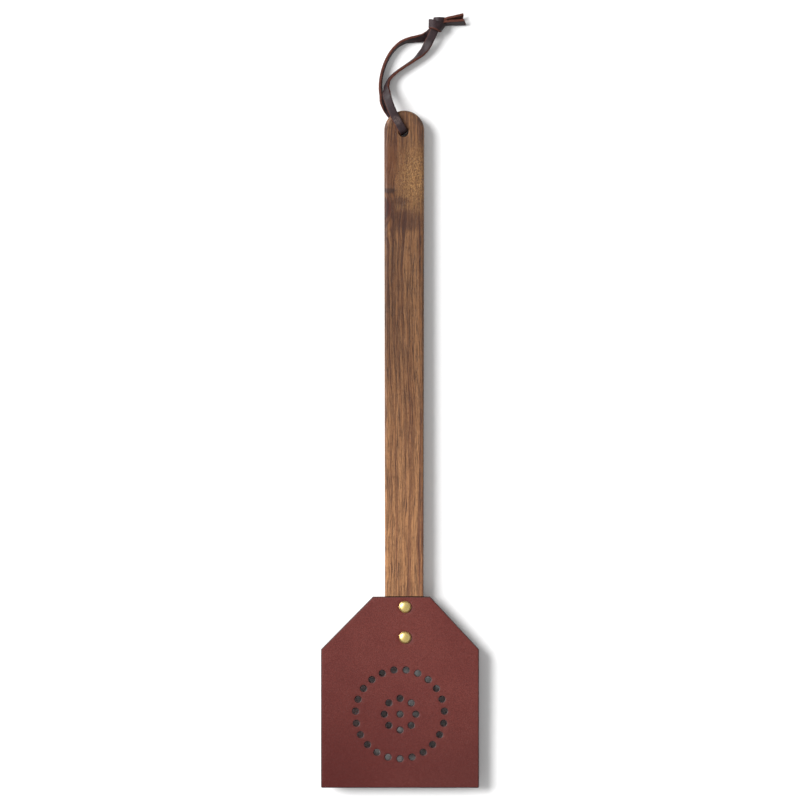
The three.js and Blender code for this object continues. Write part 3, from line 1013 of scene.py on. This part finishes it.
def hang_hole_cutter():
    """The bore, with both rims softly rounded."""
    rounding = 0.7 * MM
    margin = 1 * MM
    profile = [(0.0, HANDLE_BACK_Z - margin), (HANG_HOLE_RADIUS + rounding, HANDLE_BACK_Z - margin)]
    steps = 6
    for level, sign in ((HANDLE_BACK_Z, 1), (HANDLE_FRONT_Z, -1)):
        arc = []
        for k in range(steps + 1):
            angle = math.pi / 2 * k / steps
            radius = HANG_HOLE_RADIUS + rounding * (1 - math.sin(angle))
            arc.append((radius, level + sign * rounding * (1 - math.cos(angle))))
        profile += arc if sign > 0 else arc[::-1]
    profile += [(HANG_HOLE_RADIUS + rounding, HANDLE_FRONT_Z + margin), (0.0, HANDLE_FRONT_Z + margin)]
    return lathe("hang_hole_cutter", profile, HANG_HOLE, [wood])


def make_handle():
    outline = handle_outline()
    fill = handle_fill(outline, 3 * MM)
    handle = rounded_plate(
        "wooden_handle", outline, [], HANDLE_BACK_Z, HANDLE_FRONT_Z,
        handle_rounding, fill, (wood, wood), steps=6,
    )
    cut(handle, rebate_cutter())
    cut(handle, hang_hole_cutter())
    finish_shading(handle.data, sharp_angle=50)
    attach(handle, "handle")
    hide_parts("handle")


make_handle()

# ---------------------------------------------------------------- rivets


def dome_profile(radius, base_z, height, steps):
    """Points of a full, slightly flattened dome from its foot to its top."""
    points = []
    for k in range(steps + 1):
        angle = math.pi / 2 * k / steps
        reach = radius * math.cos(angle) ** 0.9 if k < steps else 0.0
        points.append((reach, base_z + height * math.sin(angle)))
    return points


def make_rivet_cap(place):
    """A domed cap pressed a little into the leather, on its post."""
    centre = RIVET_CENTRES[place]
    radius = RIVET_RADIUS
    foot = LEATHER_FRONT_Z - 0.3 * MM
    post_end = 1.1 * MM
    profile = [
        (0.0, post_end),
        (RIVET_POST_RADIUS, post_end),
        (RIVET_POST_RADIUS, foot),
        (radius - 0.15 * MM, foot),
        (radius, foot + 0.15 * MM),
        (radius, foot + 0.35 * MM),
        (radius - 0.12 * MM, foot + 0.47 * MM),
    ]
    rim_bands = len(profile) - 1
    profile += dome_profile(radius - 0.2 * MM, foot + 0.5 * MM, 1.75 * MM, 20)
    bands = len(profile) - 1
    # The rim bands take the material with the tarnish and painted shade.
    indices = [1 if band < rim_bands else 0 for band in range(bands)]
    cap = lathe(f"brass_cap_{place}", profile, centre, (brass, brass_rim), 72, indices, sharp_angle=60)
    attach(cap, "handle")
    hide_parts(f"rivet_{place}_cap")


def make_rivet_back(place):
    """The flat rear cap, with a softly rounded edge, that the head end rests on."""
    centre = RIVET_CENTRES[place]
    radius = RIVET_RADIUS
    rounding = 0.7 * MM
    profile = [(0.0, 0.12 * MM), (1.4 * MM, 0.08 * MM), (1.7 * MM, 0.0)]
    for k in range(9):
        angle = math.pi / 2 * k / 8
        profile.append((radius - rounding + rounding * math.sin(angle), rounding * (1 - math.cos(angle))))
    profile += [(radius, HANDLE_BACK_Z - 0.2 * MM), (radius - 0.2 * MM, HANDLE_BACK_Z), (0.0, HANDLE_BACK_Z)]
    bands = len(profile) - 1
    indices = [1 if band >= bands - 2 else 0 for band in range(bands)]
    back = lathe(f"brass_back_{place}", profile, centre, (brass, brass_rim), 72, indices, sharp_angle=60)
    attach(back, "handle")
    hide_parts(f"rivet_{place}_back")


for rivet_place in RIVET_CENTRES:
    make_rivet_cap(rivet_place)
    make_rivet_back(rivet_place)

# ---------------------------------------------------------------- stage


def make_floor():
    """One flat white plane under everything."""
    material, _, shader = surface("white_floor")
    shader.inputs["Base Color"].default_value = (0.9, 0.9, 0.9, 1)
    shader.inputs["Roughness"].default_value = 1.0
    shader.inputs["Specular IOR Level"].default_value = 0.0
    half = 8.0
    corners = [Vector((x, y, 0)) for x, y in ((-half, -half), (half, -half), (half, half), (-half, half))]
    floor = mesh_piece("floor", corners, [(0, 1, 2, 3)], [material])


def make_key_light():
    """A large, distant soft source at the upper left of the picture."""
    data = bpy.data.lights.new("key", "SUN")
    data.energy = 5.2
    data.angle = math.radians(38)
    light = bpy.data.objects.new("key", data)
    place = Vector((-1.51, 0.61, 1.32))
    light.location = place
    light.rotation_mode = "QUATERNION"
    light.rotation_quaternion = (-place).to_track_quat("-Z", "Y")
    bpy.context.scene.collection.objects.link(light)


def make_world():
    """A backdrop seen as white. As light it is dimmer, most of all overhead and near the ground."""
    world = bpy.data.worlds.new("studio")
    world.use_nodes = True
    tree = world.node_tree
    direction = node(tree, "TexCoord").outputs["Generated"]
    height = node(tree, "SeparateXYZ", {"Vector": direction}).outputs[2]
    low = ranged(tree, height, 0.1, 0.6, 0.05, 0.7)
    high = ranged(tree, height, 0.6, 0.95, 1.0, 0.7)
    lit = maths(tree, "MULTIPLY", low, high)
    seen = node(tree, "LightPath").outputs["Is Camera Ray"]
    background = tree.nodes["Background"]
    background.inputs["Color"].default_value = (1, 1, 1, 1)
    tree.links.new(maths(tree, "MAXIMUM", lit, seen), background.inputs["Strength"])
    bpy.context.scene.world = world


make_floor()
make_key_light()
make_world()
bpy.context.scene.view_settings.view_transform = "Standard"
